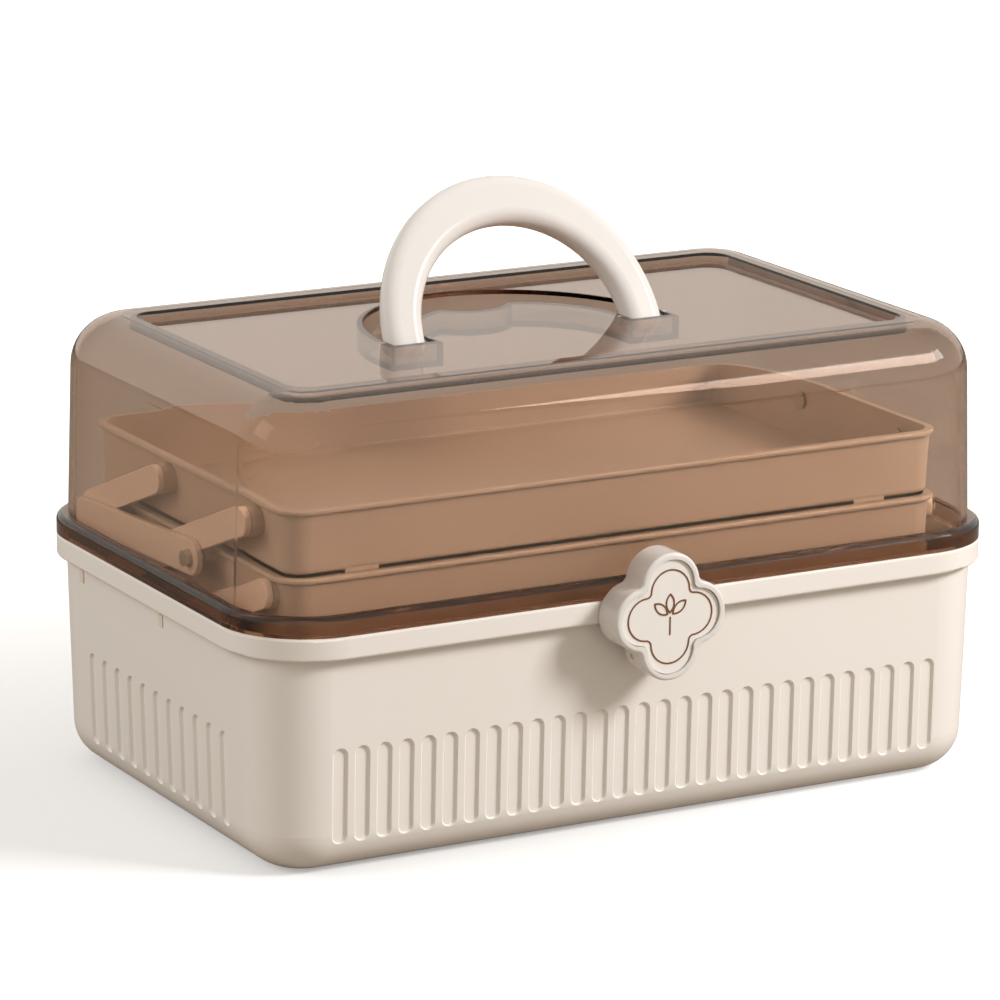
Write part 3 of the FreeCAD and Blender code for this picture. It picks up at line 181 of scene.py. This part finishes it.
dress(TUB_ABS, "base_tub")
dress(GLOSS_ABS, "handle", "latch_body")
dress(PLATE_ABS, "latch_plate")
dress(INK, "latch_line", "latch_motif")
dress(LID_PS, "lid_shell")
dress(TRAY_PP, "lower_tray", "upper_tray")
dress(ARM_PP, *both("base_arm_plate"), *both("side_rail"),
      *[end for level in ("lower", "upper") for place in ("front", "rear")
        for end in both("%s_%s_arm" % (level, place))])
dress(STEEL, "latch_pin", *both("hinge_pin"), *both("handle_pin"), *both("base_arm_pins"),
      *both("lower_tray_pins"), *both("upper_tray_pins"), *both("rail_screw"))


# Studio

# the point that lamps and cards face
AIM = Vector((0, 0, 0.1))
FLOOR_SIZE = 12
# the middle of the floor's patch of painted shade, where its glow is weakest, on the side away
# from the key lamp
PAINTED_SHADE_CENTRE = (-0.24, -0.12, 0)


def make_area_light(name, azimuth, elevation, distance, size, power):
    data = bpy.data.lights.new(name, "AREA")
    data.shape = "SQUARE"
    data.size = size
    data.energy = power
    lamp = bpy.data.objects.new(name, data)
    lamp.visible_glossy = False
    bpy.context.collection.objects.link(lamp)
    away = direction(math.radians(azimuth), math.radians(elevation))
    lamp.location = AIM + away * distance
    lamp.rotation_mode = "QUATERNION"
    lamp.rotation_quaternion = (-away).to_track_quat("-Z", "Y")


def seen_rays(tree):
    """1 for what the camera sees straight on or through the lid, 0 for light on its way."""
    path = add(tree, "ShaderNodeLightPath")
    return add(tree, "ShaderNodeMath", [(0, path.outputs["Is Camera Ray"]),
                                        (1, path.outputs["Is Transmission Ray"])],
               operation="MAXIMUM").outputs[0]


def make_floor():
    """A pale floor that the camera sees as white but for the object's shadow and a patch of
    painted shade.
    """
    bpy.ops.mesh.primitive_plane_add(size=FLOOR_SIZE)
    floor = bpy.context.object
    floor.name = "floor"
    material, tree = new_material("pale studio floor")
    place = add(tree, "ShaderNodeTexCoord").outputs["Object"]
    # the glow is brighter far from the shaded side, where the lamps fall off, and weaker near
    # it, which paints shade onto the floor there
    away = add(tree, "ShaderNodeVectorMath", [(0, place), (1, PAINTED_SHADE_CENTRE)],
               operation="DISTANCE")
    # painted shade: the glow seen by the camera is weakest near the shaded side
    glow_with_painted_shade = add(tree, "ShaderNodeMapRange",
               [("Value", away.outputs["Value"]), ("From Min", 0.2), ("From Max", 0.9),
                ("To Min", 0.34), ("To Max", 0.95)])
    seen = seen_rays(tree)
    straight = add(tree, "ShaderNodeLightPath").outputs["Is Camera Ray"]
    strength = add(tree, "ShaderNodeMath", [(0, straight), (1, glow_with_painted_shade.outputs[0])],
                   operation="MULTIPLY")
    # the object itself gets little light back from the floor
    shade = add(tree, "ShaderNodeMix", [("Factor", seen), (6, linear("#A3988B")),
                                        (7, linear("#D8D8D8"))], data_type="RGBA")
    matt = add(tree, "ShaderNodeBsdfDiffuse", [("Color", shade.outputs[2])])
    glow = add(tree, "ShaderNodeEmission",
               [("Color", linear("#FFFFFF")), ("Strength", strength.outputs[0])])
    lit = add(tree, "ShaderNodeAddShader", [(0, matt.outputs[0]), (1, glow.outputs[0])])
    finish_material(material, tree, lit)
    floor.data.materials.append(material)


def make_world():
    """Even warm studio light, which the camera sees as plain white, also through the lid."""
    world = bpy.data.worlds.new("studio")
    bpy.context.scene.world = world
    world.use_nodes = True
    tree = world.node_tree
    tree.nodes.clear()
    seen = seen_rays(tree)
    path = add(tree, "ShaderNodeLightPath")
    bright = add(tree, "ShaderNodeMath", [(0, seen), (1, path.outputs["Is Glossy Ray"])],
                 operation="MAXIMUM")
    strength = add(tree, "ShaderNodeMapRange",
                   [("Value", bright.outputs[0]), ("To Min", 0.52), ("To Max", 1.0)])
    tone = add(tree, "ShaderNodeMix", [("Factor", seen), (6, linear("#FFF7ED")),
                                       (7, linear("#FFFFFF"))], data_type="RGBA")
    background = add(tree, "ShaderNodeBackground", [("Color", tone.outputs[2]),
                                                    ("Strength", strength.outputs[0])])
    add(tree, "ShaderNodeOutputWorld", [("Surface", background.outputs[0])])


def make_reflector(name, azimuth, elevation, distance, width, height, strength):
    """A bright card that only reflections show, fading to nothing at its left edge."""
    away = direction(math.radians(azimuth), math.radians(elevation))
    bpy.ops.mesh.primitive_plane_add(size=1)
    card = bpy.context.object
    card.name = name
    card.scale = (width, height, 1)
    card.location = AIM + away * distance
    card.rotation_mode = "QUATERNION"
    card.rotation_quaternion = away.to_track_quat("Z", "Y")
    material, tree = new_material("bright card, fading")
    place = add(tree, "ShaderNodeTexCoord").outputs["Object"]
    along = add(tree, "ShaderNodeSeparateXYZ", [(0, place)]).outputs["X"]
    fade = add(tree, "ShaderNodeMapRange",
               [("Value", along), ("From Min", -0.5), ("From Max", 0.4), ("To Min", 0.0),
                ("To Max", strength)], interpolation_type="SMOOTHSTEP")
    glow = add(tree, "ShaderNodeEmission", [("Strength", fade.outputs[0])])
    finish_material(material, tree, glow)
    card.data.materials.append(material)
    card.visible_camera = False
    card.visible_diffuse = False
    card.visible_transmission = False
    card.visible_shadow = False


make_camera()
make_world()
make_floor()
make_area_light("key", 42, 32, 1.8, 0.5, 27)
make_area_light("fill", -105, 28, 2.2, 1.1, 16)
make_reflector("key card", 45, 32, 1.8, 0.9, 0.5, 9.0)
bpy.context.scene.view_settings.view_transform = "Standard"
